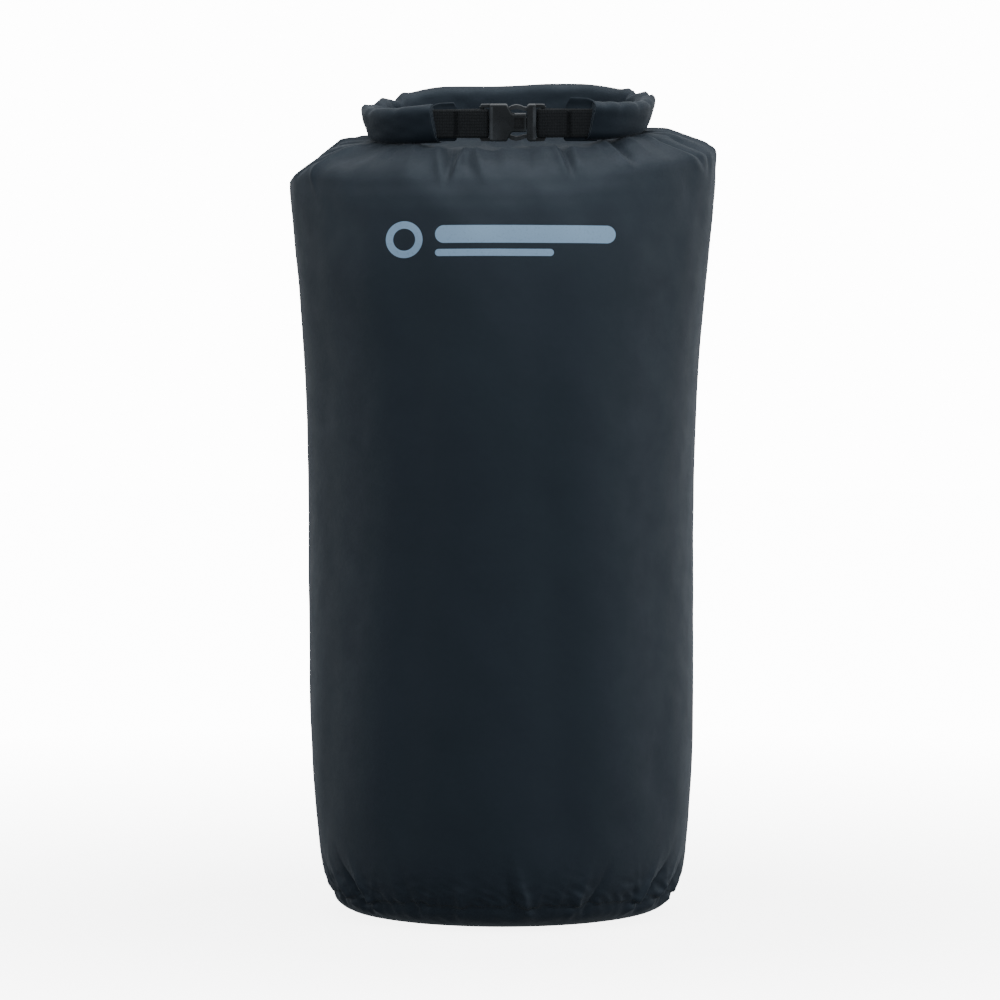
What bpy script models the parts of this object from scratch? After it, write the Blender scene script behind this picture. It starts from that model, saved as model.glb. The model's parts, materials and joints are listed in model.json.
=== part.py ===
"""Roll-top dry sack: a fabric tube with a sewn-in base, its mouth rolled up round a stiffener,
bent into a ring and clipped in front with a side-release buckle on 20 mm webbing.

Metres, +Z up, front towards -Y. The origin is the middle of the base, on the ground.
Run with: blender --background --python part.py
"""

import math

import bmesh
import bpy
from mathutils import Euler, Matrix, Vector

MM = 0.001
GAP = 0.3 * MM  # running gap left between pieces that touch

# Driving dimensions of the sack
WALL = 2.0 * MM
SEAM_RADIUS = 118.5 * MM
SEAM_HEIGHT = 15.5 * MM
CONTACT_RADIUS = 90 * MM
AROUND = 48  # facets round the sack

# Driving dimensions of the rolled mouth, which is a ring in a plane that tips forward
RING_CENTRE = Vector((7, -4, 544.5)) * MM
RING_TILT = math.radians(10.3)
ROLL_HEIGHT = 28 * MM
ROLL_THICK = 12 * MM
ROLL_TURNS = 2
ROLL_LAYER = 1.6 * MM
ROLL_PITCH = 2.2 * MM
BEND_RADIUS = 48 * MM
HALF_STRAIGHT = 47 * MM
REAR_HALF = 44 * MM  # the rear length ends here, and the arms begin
ARM_END = 54.5 * MM  # how far from the middle the front ends of the arms stay
BEND_STATIONS = 10

# Driving dimensions of the webbing and the buckle
WEB_WIDTH = 20 * MM
WEB_THICK = 1.3 * MM
BUCKLE_HALF_WIDTH = 12.7 * MM
BUCKLE_HALF_THICK = 3.9 * MM
BODY_END = 16.2 * MM  # where webbing meets the moulding, from the buckle's middle
BAR_CENTRE = 21.2 * MM
BAR_RADIUS = 1.6 * MM
SHOULDER = -4.1 * MM  # the socket begins to narrow here
WAIST = -0.7 * MM  # and has its narrow width from here
WAIST_HALF = 6.2 * MM
PLUG_FACE = 9.7 * MM  # the plug's base begins here
EDGE_ROUND = 0.8 * MM
RAIL_HALF_THICK = 1.9 * MM
RAIL_OVERLAP = 1.5 * MM  # how far a rail runs into its moulding
RIDGE_WIDTH = 2.2 * MM
RIDGE_PROUD = 0.5 * MM
RIDGE_INSET = 1.4 * MM  # a ridge stops this far from the edges
TONGUE_TIP = -10.5 * MM
TONGUE_TAPER = -6.0 * MM
TONGUE_HALF = 3.5 * MM
TONGUE_TIP_HALF = 2.4 * MM
TONGUE_HALF_THICK = 1.6 * MM
SLIDE_GAP = 0.4 * MM  # between the tongue or a prong and the socket's walls
POCKET_HALF_THICK = 2.3 * MM
POCKET_END = -14.0 * MM
POCKET_MOUTH = -6.0 * MM  # a hook's pocket narrows to its mouth here
POCKET_INNER = 5.2 * MM
POCKET_OUTER = 11.5 * MM
MOUTH_OUTER = 10.8 * MM
WINDOW = (1.0 * MM, 7.4 * MM)
WINDOW_HALF = 3.6 * MM
PRONG_ROOT_X = 11.9 * MM
PRONG_ROOT_Z = 9.3 * MM
PRONG_ROOT_RADIUS = 1.5 * MM
PRONG_HALF_THICK = 1.9 * MM
CUT_PAST = 1.0 * MM  # how far a cutter runs past the face it cuts

FABRIC = ("coated_fabric", (0.030, 0.038, 0.047, 1), 0.55)
LINING = ("seam_tape", (0.055, 0.062, 0.070, 1), 0.45)
STRIP = ("stiffener_strip", (0.020, 0.021, 0.023, 1), 0.50)
WEBBING = ("webbing", (0.010, 0.012, 0.014, 1), 0.85)
THREAD = ("thread", (0.014, 0.016, 0.018, 1), 0.75)
MOULDING = ("moulded_plastic", (0.016, 0.018, 0.020, 1), 0.38)


def clear_scene():
    for obj in list(bpy.data.objects):
        bpy.data.objects.remove(obj)


def material(name, colour, roughness):
    found = bpy.data.materials.get(name)
    if found:
        return found
    made = bpy.data.materials.new(name)
    made.use_nodes = True
    shader = made.node_tree.nodes["Principled BSDF"]
    shader.inputs["Base Color"].default_value = colour
    shader.inputs["Roughness"].default_value = roughness
    shader.inputs["Metallic"].default_value = 0
    return made


def new_object(name, bm, finish=None, smooth=True):
    """Links the bmesh as an object, with its faces turned outwards."""
    bmesh.ops.recalc_face_normals(bm, faces=bm.faces)
    mesh = bpy.data.meshes.new(name)
    bm.to_mesh(mesh)
    bm.free()
    if smooth:
        mesh.shade_smooth()
        mesh.set_sharp_from_angle(angle=math.radians(35))
    if finish:
        mesh.materials.append(material(*finish))
    obj = bpy.data.objects.new(name, mesh)
    bpy.context.scene.collection.objects.link(obj)
    return obj


def pivot(name, location, parent=None):
    """An empty on a joint's axis, which carries the pieces that move with it."""
    empty = bpy.data.objects.new(name, None)
    empty.location = location
    empty.parent = parent
    bpy.context.scene.collection.objects.link(empty)
    return empty


def hang(obj, carrier, carrier_place):
    """Parents a piece modelled in the ring's frame, keeping it where it is."""
    obj.data.transform(Matrix.Translation(-Vector(carrier_place)))
    obj.parent = carrier
    return obj


def bridge(bm, rings, close_round=True):
    """Faces between successive rings of vertices."""
    for lower, upper in zip(rings, rings[1:]):
        count = len(lower)
        for i in range(count if close_round else count - 1):
            j = (i + 1) % count
            bm.faces.new((lower[i], lower[j], upper[j], upper[i]))


# ---------------------------------------------------------------- the sack

# Height at the ring's middle, half width, half depth, centre's Y, share of the ring's tilt
SACK_STATIONS = [
    (SEAM_HEIGHT, SEAM_RADIUS, SEAM_RADIUS, 0, 0),
    (0.024, 0.1230, 0.1230, 0, 0),
    (0.040, 0.1278, 0.1275, 0, 0),
    (0.080, 0.1318, 0.1315, 0, 0),
    (0.140, 0.1346, 0.1343, 0, 0),
    (0.220, 0.1350, 0.1350, 0, 0),
    (0.300, 0.1350, 0.1348, 0, 0),
    (0.400, 0.1378, 0.1315, 0, 0),
    (0.450, 0.1432, 0.1270, 0, 0.10),
    (0.485, 0.1475, 0.1210, 0, 0.30),
    (0.508, 0.1490, 0.1130, 0, 0.60),
    (0.524, 0.1470, 0.1030, 0, 0.85),
    (0.535, 0.1390, 0.0910, 0, 1.00),
    (0.5392, 0.1240, 0.0760, 0.002, 1.00),
    (0.5402, 0.0960, 0.0560, 0.012, 1.00),
    (0.5410, 0.0600, 0.0240, 0.033, 1.00),
    (0.5420, 0.0430, 0.0062, 0.0432, 1.00),
]
ROUND_POWER = 2.0
SHOULDER_POWER = 2.35


def sack_point(station, angle, inset=0.0):
    """A point on the sack's outer surface at a station, or inset towards its axis."""
    height, half_width, half_depth, centre_y, tilt_share = station
    power = ROUND_POWER + (SHOULDER_POWER - ROUND_POWER) * tilt_share
    c = math.cos(angle)
    s = math.sin(angle)
    x = (half_width - inset) * math.copysign(abs(c) ** (2 / power), c)
    y = centre_y + (half_depth - inset) * math.copysign(abs(s) ** (2 / power), s)
    lift = (y - RING_CENTRE.y) * math.tan(RING_TILT) * tilt_share
    return Vector((x, y, height + lift))


def sack_body():
    """The fabric tube, open at its base seam and pinched shut where it enters the roll."""
    bm = bmesh.new()
    rings = []
    for station in SACK_STATIONS:
        angles = [2 * math.pi * i / AROUND for i in range(AROUND)]
        rings.append([bm.verts.new(sack_point(station, a)) for a in angles])
    bridge(bm, rings)
    bm.faces.new(rings[-1])
    obj = new_object("sack_body", bm, FABRIC)
    shell = obj.modifiers.new("wall", "SOLIDIFY")
    shell.thickness = WALL
    shell.offset = -1
    shell.use_even_offset = True
    return obj


def turned(name, profile, finish):
    """A closed ring or disc turned about Z from a closed (radius, height) outline."""
    bm = bmesh.new()
    rings = []
    for i in range(AROUND):
        angle = 2 * math.pi * i / AROUND
        direction = Vector((math.cos(angle), math.sin(angle), 0))
        rings.append([bm.verts.new(direction * r + Vector((0, 0, z))) for r, z in profile])
    for ring, following in zip(rings, rings[1:] + rings[:1]):
        count = len(profile)
        for i in range(count):
            j = (i + 1) % count
            bm.faces.new((ring[i], ring[j], following[j], following[i]))
    return new_object(name, bm, finish)


def base_panel():
    """The base disc: flat where it rests, curving up to the seam."""
    steps = 4
    rise = SEAM_HEIGHT - GAP
    run = SEAM_RADIUS - CONTACT_RADIUS - GAP
    curve = []
    for i in range(steps + 1):
        angle = math.radians(90) * i / steps
        curve.append((CONTACT_RADIUS + run * math.sin(angle), rise * (1 - math.cos(angle))))
    bm = bmesh.new()
    rings = []
    for radius, height in curve:
        angles = [2 * math.pi * k / AROUND for k in range(AROUND)]
        rings.append([bm.verts.new((radius * math.cos(a), radius * math.sin(a), height)) for a in angles])
    bridge(bm, rings)
    bm.faces.new(rings[0])
    obj = new_object("base_panel", bm, FABRIC)
    wall = obj.modifiers.new("wall", "SOLIDIFY")
    wall.thickness = WALL
    wall.offset = -1
    wall.use_even_offset = True
    return obj


def base_seam_tape():
    """Sealing tape that covers the base seam inside the sack."""
    thick = 0.8 * MM
    foot = Vector((100 * MM, 8.0 * MM))
    corner = Vector((111.5 * MM, 19.5 * MM))
    head = Vector((119.0 * MM, 33.0 * MM))
    outline = [foot, corner, head, head - Vector((thick, 0)), corner - Vector((thick, -thick)),
               foot + Vector((0, thick))]
    return turned("base_seam_tape", [tuple(p) for p in outline], LINING)


def side_seam_tape():
    """Sealing tape over the tube's closing seam, down the inside of the back."""
    outer_inset = WALL + 2 * GAP
    thick = 0.8 * MM
    half_angle = math.radians(4.3)
    stations = SACK_STATIONS[3:10]
    bm = bmesh.new()
    rings = []
    for station in stations:
        ring = []
        for inset, sides in ((outer_inset, (-1, 0, 1)), (outer_inset + thick, (1, 0, -1))):
            for side in sides:
                angle = math.radians(90) - side * half_angle
                ring.append(bm.verts.new(sack_point(station, angle, inset)))
        rings.append(ring)
    bridge(bm, rings)
    bm.faces.new(rings[0])
    bm.faces.new(rings[-1])
    return new_object("side_seam_tape", bm, LINING)


# ------------------------------------------------------- the rolled mouth

def ring_path(start, end, stations):
    """Points and outward directions on the ring's centreline, from start to end.

    Places run from 0 at the middle of the rear, along the straight, round the bend to the front.
    A negative place is on the left.
    """
    found = []
    for i in range(stations):
        place = start + (end - start) * i / (stations - 1)
        side = math.copysign(1, place) if place else 1
        along = abs(place)
        if along <= HALF_STRAIGHT:
            point = Vector((side * along, BEND_RADIUS, 0))
            outward = Vector((0, 1, 0))
        else:
            angle = (along - HALF_STRAIGHT) / BEND_RADIUS
            outward = Vector((side * math.sin(angle), math.cos(angle), 0))
            point = Vector((side * HALF_STRAIGHT, 0, 0)) + outward * BEND_RADIUS
        found.append((point, outward))
    return found


def arm_end_place():
    """How far along the centreline the arm ends."""
    return HALF_STRAIGHT + BEND_RADIUS * (math.pi - math.asin((ARM_END - HALF_STRAIGHT) / BEND_RADIUS))


def spiral_outline():
    """The fabric wound flat round the stiffener: (offset from the centreline, height) points.

    Half turns about an upper and a lower centre, each one wider than the last by half the pitch,
    joined by straight runs. The lower centre is on the centreline, where the ring tips up.
    """
    last_radius = (ROLL_THICK - ROLL_LAYER) / 2
    half_turns = 2 * ROLL_TURNS
    low = ROLL_THICK / 2
    high = ROLL_HEIGHT - ROLL_THICK / 2
    arc_steps = 4
    line = []
    for k in range(half_turns):
        radius = last_radius - ROLL_PITCH / 2 * (half_turns - 1 - k)
        at_top = k % 2 == 0
        centre = Vector((-ROLL_PITCH / 2, high)) if at_top else Vector((0, low))
        first = 0 if at_top else math.pi
        for i in range(arc_steps + 1):
            angle = first + math.pi * i / arc_steps
            line.append((centre, radius, angle))
    outer = [c + Vector((math.cos(a), math.sin(a))) * (r + ROLL_LAYER / 2) for c, r, a in line]
    inner = [c + Vector((math.cos(a), math.sin(a))) * (r - ROLL_LAYER / 2) for c, r, a in line]
    return outer + inner[::-1]


def swept(name, outline, path, finish):
    """A closed outline of (offset, height) points carried along a path."""
    bm = bmesh.new()
    rings = []
    for point, outward in path:
        rings.append([bm.verts.new(point + outward * d + Vector((0, 0, z))) for d, z in outline])
    bridge(bm, rings)
    bm.faces.new(rings[0])
    bm.faces.new(rings[-1])
    return new_object(name, bm, finish)


def rolled_rear(parts):
    half = REAR_HALF - GAP / 2
    path = ring_path(-half, half, 2)
    parts["roll_rear"] = swept("roll_rear", spiral_outline(), path, FABRIC)
    parts["stiffener_rear"] = swept("stiffener_rear", stiffener_outline(), path, STRIP)


def stiffener_outline():
    """The strip sewn in the mouth's hem, flat in the core of the roll."""
    thick = 0.8 * MM
    margin = 5.5 * MM
    low = margin
    high = ROLL_HEIGHT - margin - 1 * MM
    return [(-thick, low), (0, low), (0, high), (-thick, high)]


def rolled_arm(parts, side, label):
    path = ring_path(side * (REAR_HALF + GAP / 2), side * arm_end_place(), BEND_STATIONS)
    parts[f"roll_{label}"] = swept(f"roll_{label}", spiral_outline(), path, FABRIC)
    strip_short = 8 * MM  # the strip ends this far inside the roll
    core = ring_path(side * (REAR_HALF + GAP / 2), side * (arm_end_place() - strip_short), BEND_STATIONS)
    parts[f"stiffener_{label}"] = swept(f"stiffener_{label}", stiffener_outline(), core, STRIP)


# ------------------------------------------------------------ the webbing

def thick_line(points, thick):
    """The outline of a ribbon seen edge on, as offsets either side of a line of points."""
    left = []
    right = []
    for i, point in enumerate(points):
        before = points[max(i - 1, 0)]
        after = points[min(i + 1, len(points) - 1)]
        along = (after - before).normalized()
        normal = Vector((-along.y, along.x))
        left.append(point + normal * thick / 2)
        right.append(point - normal * thick / 2)
    return left + right[::-1]


def extruded_up(name, outline, low, high, finish):
    """An (x, y) outline extruded from low to high along the ring's axis."""
    bm = bmesh.new()
    lower = [bm.verts.new((x, y, low)) for x, y in outline]
    upper = [bm.verts.new((x, y, high)) for x, y in outline]
    bridge(bm, [lower, upper])
    bm.faces.new(lower)
    bm.faces.new(upper)
    return new_object(name, bm, finish)


WEB_MIDDLE = ROLL_HEIGHT / 2
FRONT_Y = -BEND_RADIUS - 0.4 * MM  # the plane of the roll's core and of the buckle's middle
WEB_FORWARD = 1.5 * MM  # the webbing's outer layer lies this far in front of that plane
WEB_ROOT = 53.0 * MM
WEB_STRAIGHT = 37.0 * MM  # outboard of here the webbing lies flat on the hem
WEB_TAPER = 28.0 * MM  # inboard of here it spreads to pass round the bar
WEB_TAIL = 42.0 * MM


def webbing(side, label):
    """A strap from the hem's end, round the buckle's bar and back, with its tail sewn down."""
    loop = BAR_RADIUS + GAP + WEB_THICK / 2
    spread = loop - 0.4 * MM
    tail = WEB_THICK + GAP - WEB_FORWARD
    line = [
        Vector((side * WEB_ROOT, -WEB_FORWARD)),
        Vector((side * WEB_STRAIGHT, -WEB_FORWARD)),
        Vector((side * WEB_TAPER, -spread)),
    ]
    arc_steps = 8
    for i in range(arc_steps + 1):
        angle = -math.pi / 2 + math.pi * i / arc_steps
        line.append(Vector((side * (BAR_CENTRE - loop * math.cos(angle)), loop * math.sin(angle))))
    line.append(Vector((side * WEB_TAPER, spread)))
    line.append(Vector((side * WEB_STRAIGHT, tail)))
    line.append(Vector((side * WEB_TAIL, tail)))
    outline = [(p.x, p.y + FRONT_Y) for p in thick_line(line, WEB_THICK)]
    low = WEB_MIDDLE - WEB_WIDTH / 2
    return extruded_up(f"{label}_webbing", outline, low, low + WEB_WIDTH, WEBBING)


def hem_tab(side, label):
    """The end of the mouth's hem, which the webbing is sewn to."""
    thick = 1.2 * MM
    back = FRONT_Y + 2.9 * MM
    height = 25 * MM
    corner = 3 * MM
    inner = side * 39.5 * MM
    outer = side * (ARM_END - 2 * GAP)
    low = WEB_MIDDLE - height / 2
    high = WEB_MIDDLE + height / 2
    outline = [(outer, low), (inner + side * corner, low), (inner, low + corner),
               (inner, high - corner), (inner + side * corner, high), (outer, high)]
    bm = bmesh.new()
    front = [bm.verts.new((x, back, z)) for x, z in outline]
    rear = [bm.verts.new((x, back + thick, z)) for x, z in outline]
    bridge(bm, [front, rear])
    bm.faces.new(front)
    bm.faces.new(rear)
    return new_object(f"{label}_hem_tab", bm, FABRIC)


def bartack(side, label):
    """The dense zigzag of thread across the webbing, one bar with a rib for each stitch."""
    stitches = 12
    half_height = 9 * MM
    relief = 0.45 * MM
    valley = 0.2 * MM
    half_width = 1.5 * MM
    face = FRONT_Y - WEB_FORWARD - WEB_THICK / 2 - GAP / 2
    middle = side * (WEB_STRAIGHT + half_width)
    profile = []
    for i in range(2 * stitches + 1):
        height = WEB_MIDDLE - half_height + half_height * i / stitches
        profile.append((face - (relief if i % 2 else valley), height))
    outline = [(face, WEB_MIDDLE - half_height)] + profile + [(face, WEB_MIDDLE + half_height)]
    bm = bmesh.new()
    left = [bm.verts.new((middle - half_width, y, z)) for y, z in outline]
    right = [bm.verts.new((middle + half_width, y, z)) for y, z in outline]
    bridge(bm, [left, right])
    bm.faces.new(left)
    bm.faces.new(right)
    return new_object(f"{label}_bartack", bm, THREAD)


# ------------------------------------------------------------- the buckle

def rounded(points, radii, steps=4):
    """A polygon with each corner replaced by an arc that is tangent to its two sides."""
    found = []
    count = len(points)
    for i, (point, radius) in enumerate(zip(points, radii)):
        here = Vector(point)
        if not radius:
            found.append(here)
            continue
        to_last = (Vector(points[i - 1]) - here).normalized()
        to_next = (Vector(points[(i + 1) % count]) - here).normalized()
        half = to_last.angle(to_next) / 2
        start = here + to_last * radius / math.tan(half)
        end = here + to_next * radius / math.tan(half)
        centre = here + (to_last + to_next).normalized() * radius / math.sin(half)
        for k in range(steps + 1):
            share = k / steps
            direction = (start - centre).normalized().slerp((end - centre).normalized(), share)
            found.append(centre + direction * radius)
    return found


def plate(name, outline, front, back, finish=None):
    """An (x, z) outline, about the buckle's middle, extruded through its thickness."""
    bm = bmesh.new()
    middle = Vector((0, FRONT_Y, WEB_MIDDLE))
    near = [bm.verts.new(middle + Vector((x, front, z))) for x, z in outline]
    far = [bm.verts.new(middle + Vector((x, back, z))) for x, z in outline]
    bridge(bm, [near, far])
    bm.faces.new(near)
    bm.faces.new(far)
    return new_object(name, bm, finish, smooth=finish is not None)


def block(name, x0, x1, y0, y1, z0, z1):
    """A box about the buckle's middle."""
    return plate(name, [(x0, z0), (x1, z0), (x1, z1), (x0, z1)], y0, y1)


def bar(name, x):
    """The round bar that webbing loops over, along the ring's axis."""
    steps = 12
    radius = BAR_RADIUS
    reach = BUCKLE_HALF_WIDTH - RAIL_OVERLAP
    outline = []
    for i in range(steps):
        angle = 2 * math.pi * i / steps
        outline.append((x + radius * math.cos(angle), FRONT_Y + radius * math.sin(angle)))
    return extruded_up(name, outline, WEB_MIDDLE - reach, WEB_MIDDLE + reach, None)


def combine(target, helper, operation):
    """Joins or cuts with a helper, which stays in the file as a wire guide."""
    helper.hide_render = True
    helper.display_type = "WIRE"
    change = target.modifiers.new(helper.name, "BOOLEAN")
    change.operation = operation
    change.object = helper
    return helper


def soften(obj, width):
    edge = obj.modifiers.new("edge", "BEVEL")
    edge.width = width
    edge.segments = 2
    edge.limit_method = "ANGLE"
    edge.angle_limit = math.radians(40)


def web_frame(side, name):
    """The rails and bar outside a moulding's body, with the slot that webbing passes through."""
    helpers = []
    rail_inner = WEB_WIDTH / 2 + SLIDE_GAP
    corner = 0.9 * MM
    for sign, word in ((1, "upper"), (-1, "lower")):
        near = side * (BODY_END - RAIL_OVERLAP)
        far = side * (BAR_CENTRE + corner)
        low, high = sorted((sign * rail_inner, sign * BUCKLE_HALF_WIDTH))
        x0, x1 = sorted((near, far))
        outline = rounded([(x0, low), (x1, low), (x1, high), (x0, high)], [corner] * 4, 2)
        helpers.append(plate(f"{name}_{word}_rail", outline, -RAIL_HALF_THICK, RAIL_HALF_THICK))
    helpers.append(bar(f"{name}_bar", side * BAR_CENTRE))
    return helpers


def end_ridge(side, name):
    """The ridge across both faces of a moulding, beside the webbing."""
    outer = side * (BODY_END - GAP)
    x0, x1 = sorted((outer, outer - side * RIDGE_WIDTH))
    proud = BUCKLE_HALF_THICK + RIDGE_PROUD
    reach = BUCKLE_HALF_WIDTH - RIDGE_INSET
    return block(name, x0, x1, -proud, proud, -reach, reach)


def buckle_socket():
    """The female half: a flat hollow body, narrowing to a waist with a window over the tongue."""
    w = BUCKLE_HALF_WIDTH
    t = BUCKLE_HALF_THICK
    end = PLUG_FACE - GAP
    outline = rounded(
        [(-BODY_END, -w), (SHOULDER, -w), (WAIST, -WAIST_HALF), (end, -WAIST_HALF),
         (end, WAIST_HALF), (WAIST, WAIST_HALF), (SHOULDER, w), (-BODY_END, w)],
        [1.6 * MM, 1.8 * MM, 2.2 * MM, 0.8 * MM, 0.8 * MM, 2.2 * MM, 1.8 * MM, 1.6 * MM])
    body = plate("buckle_socket", outline, -t, t, MOULDING)
    soften(body, EDGE_ROUND)
    for helper in web_frame(-1, "socket"):
        combine(body, helper, "UNION")
    half = TONGUE_HALF + SLIDE_GAP
    deep = TONGUE_HALF_THICK + SLIDE_GAP
    channel = block("socket_channel", TONGUE_TIP - CUT_PAST, end + CUT_PAST, -deep, deep, -half, half)
    combine(body, channel, "DIFFERENCE")
    for sign, word in ((1, "upper"), (-1, "lower")):
        deep = POCKET_HALF_THICK
        low, high = sorted((sign * POCKET_INNER, sign * POCKET_OUTER))
        pocket = block(f"socket_{word}_pocket", POCKET_END, POCKET_MOUTH, -deep, deep, low, high)
        combine(body, pocket, "DIFFERENCE")
        low, high = sorted((sign * POCKET_INNER, sign * MOUTH_OUTER))
        near = POCKET_MOUTH - CUT_PAST
        mouth = block(f"socket_{word}_mouth", near, WAIST + 2 * CUT_PAST, -deep, deep, low, high)
        combine(body, mouth, "DIFFERENCE")
    window = block("socket_window", *WINDOW, -t - CUT_PAST, 0, -WINDOW_HALF, WINDOW_HALF)
    combine(body, window, "DIFFERENCE")
    combine(body, end_ridge(-1, "socket_ridge"), "UNION")
    return body


def buckle_plug():
    """The male half: a base with the web bar, and the tongue that guides it into the socket."""
    w = BUCKLE_HALF_WIDTH
    t = BUCKLE_HALF_THICK
    outline = rounded([(PLUG_FACE, -w), (BODY_END, -w), (BODY_END, w), (PLUG_FACE, w)],
                      [2.2 * MM, 1.2 * MM, 1.2 * MM, 2.2 * MM])
    body = plate("buckle_plug", outline, -t, t, MOULDING)
    soften(body, EDGE_ROUND)
    for helper in web_frame(1, "plug"):
        combine(body, helper, "UNION")
    root = PLUG_FACE + 2 * CUT_PAST
    corner = 1.2 * MM
    tongue_outline = rounded(
        [(TONGUE_TIP, -TONGUE_TIP_HALF), (TONGUE_TAPER, -TONGUE_HALF), (root, -TONGUE_HALF),
         (root, TONGUE_HALF), (TONGUE_TAPER, TONGUE_HALF), (TONGUE_TIP, TONGUE_TIP_HALF)],
        [corner, 0, 0, 0, 0, corner])
    combine(body, plate("plug_tongue", tongue_outline, -TONGUE_HALF_THICK, TONGUE_HALF_THICK), "UNION")
    combine(body, end_ridge(1, "plug_ridge"), "UNION")
    seat_half = PRONG_ROOT_RADIUS + SLIDE_GAP
    seat_end = PRONG_ROOT_X + seat_half
    seat_corner = seat_half - 0.1 * MM
    for sign, word in ((1, "upper"), (-1, "lower")):
        low, high = sorted((sign * (PRONG_ROOT_Z - seat_half), sign * (PRONG_ROOT_Z + seat_half)))
        near = PLUG_FACE - CUT_PAST
        outline = rounded([(near, low), (seat_end, low), (seat_end, high), (near, high)],
                          [0, seat_corner, seat_corner, 0])
        seat = plate(f"plug_{word}_seat", outline, -POCKET_HALF_THICK, POCKET_HALF_THICK)
        combine(body, seat, "DIFFERENCE")
    return body


def knuckle(sign, radius):
    """The round root that a prong flexes about."""
    steps = 16
    centre = Vector((PRONG_ROOT_X, sign * PRONG_ROOT_Z))
    return [centre + Vector((math.cos(2 * math.pi * i / steps), math.sin(2 * math.pi * i / steps))) * radius
            for i in range(steps)]


def buckle_prong(sign, label):
    """A sprung arm of the plug: out from its root, bowed to meet a fingertip, then a hook at its tip."""
    line = [
        Vector((PRONG_ROOT_X, PRONG_ROOT_Z)),
        Vector((7.6 * MM, 9.6 * MM)),
        Vector((5.0 * MM, 10.6 * MM)),
        Vector((2.4 * MM, 11.0 * MM)),
        Vector((-0.4 * MM, 10.4 * MM)),
        Vector((-2.8 * MM, 9.2 * MM)),
        Vector((-6.0 * MM, 8.6 * MM)),
        Vector((-9.0 * MM, 8.7 * MM)),
        Vector((-12.4 * MM, 7.9 * MM)),
    ]
    halves = [1.3 * MM, 1.2 * MM, 1.4 * MM, 1.5 * MM, 1.4 * MM, 1.1 * MM, 1.15 * MM, 1.6 * MM, 0.7 * MM]
    upper = []
    lower = []
    for i, (point, half) in enumerate(zip(line, halves)):
        along = (line[min(i + 1, len(line) - 1)] - line[max(i - 1, 0)]).normalized()
        normal = Vector((along.y, -along.x))
        upper.append(point + normal * half)
        lower.append(point - normal * half)
    outline = [Vector((p.x, sign * p.y)) for p in upper + lower[::-1]]
    arm = plate(f"buckle_{label}_prong", outline, -PRONG_HALF_THICK, PRONG_HALF_THICK, MOULDING)
    reach = PRONG_HALF_THICK - 0.1 * MM
    root = plate(f"{label}_prong_root", knuckle(sign, PRONG_ROOT_RADIUS), -reach, reach)
    combine(arm, root, "UNION")
    return arm


# ----------------------------------------------------------- the assembly

def main():
    clear_scene()
    sack_body()
    base_panel()
    base_seam_tape()
    side_seam_tape()

    tip_place = Vector((0, BEND_RADIUS, ROLL_THICK / 2))
    turn = Euler((RING_TILT, 0, 0)).to_matrix()
    closure = pivot("closure_pivot", RING_CENTRE + turn @ tip_place)
    closure.rotation_euler = (RING_TILT, 0, 0)
    parts = {}
    rolled_rear(parts)
    for obj in parts.values():
        hang(obj, closure, tip_place)

    for side, label, half in ((-1, "left", "socket"), (1, "right", "plug")):
        arm_place = Vector((side * REAR_HALF, BEND_RADIUS + ROLL_THICK / 2 + GAP, 0))
        arm = pivot(f"{label}_arm_pivot", arm_place - tip_place, closure)
        pieces = {}
        rolled_arm(pieces, side, label)
        held = list(pieces.values()) + [webbing(side, label), hem_tab(side, label), bartack(side, label)]
        for obj in held:
            hang(obj, arm, arm_place)
        half_place = Vector((side * BAR_CENTRE, FRONT_Y, WEB_MIDDLE))
        half_pivot = pivot(f"{half}_pivot", half_place - arm_place, arm)
        moulding = buckle_socket() if half == "socket" else buckle_plug()
        helpers = [m.object for m in moulding.modifiers if m.type == "BOOLEAN"]
        for obj in [moulding] + helpers:
            hang(obj, half_pivot, half_place)
        if half != "plug":
            continue
        for sign, word in ((1, "upper"), (-1, "lower")):
            place = Vector((PRONG_ROOT_X, FRONT_Y, WEB_MIDDLE + sign * PRONG_ROOT_Z))
            prong_pivot = pivot(f"{word}_prong_pivot", place - half_place, half_pivot)
            prong = buckle_prong(sign, word)
            for obj in [prong] + [m.object for m in prong.modifiers if m.type == "BOOLEAN"]:
                hang(obj, prong_pivot, place)


main()
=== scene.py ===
"""The looks of a roll-top dry sack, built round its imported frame.

Metres, +Z up, front towards -Y. The sack, the rolled mouth, the webbing and the stitching are made here, in
place of their packed stand-ins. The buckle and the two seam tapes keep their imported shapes, and only get
materials.
"""

import json
import math

import bpy
import numpy as np
from mathutils import Matrix, Vector


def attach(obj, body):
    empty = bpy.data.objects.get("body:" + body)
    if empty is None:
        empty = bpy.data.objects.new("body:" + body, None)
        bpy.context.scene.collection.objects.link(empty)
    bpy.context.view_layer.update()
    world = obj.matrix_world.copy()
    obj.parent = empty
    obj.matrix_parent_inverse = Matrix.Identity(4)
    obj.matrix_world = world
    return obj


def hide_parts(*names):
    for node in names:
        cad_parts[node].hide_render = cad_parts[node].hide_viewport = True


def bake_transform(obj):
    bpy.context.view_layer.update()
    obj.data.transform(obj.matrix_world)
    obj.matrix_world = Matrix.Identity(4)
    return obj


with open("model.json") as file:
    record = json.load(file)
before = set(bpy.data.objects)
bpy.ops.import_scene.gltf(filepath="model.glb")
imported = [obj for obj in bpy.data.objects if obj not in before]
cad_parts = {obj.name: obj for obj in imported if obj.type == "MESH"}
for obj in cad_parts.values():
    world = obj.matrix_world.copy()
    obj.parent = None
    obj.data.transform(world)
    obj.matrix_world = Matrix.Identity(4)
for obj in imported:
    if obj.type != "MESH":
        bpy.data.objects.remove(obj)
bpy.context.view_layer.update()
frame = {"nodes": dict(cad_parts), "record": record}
MM = 0.001
JOINTS = {joint["name"]: joint for joint in frame["record"]["behaviour"]["joints"]}

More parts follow.
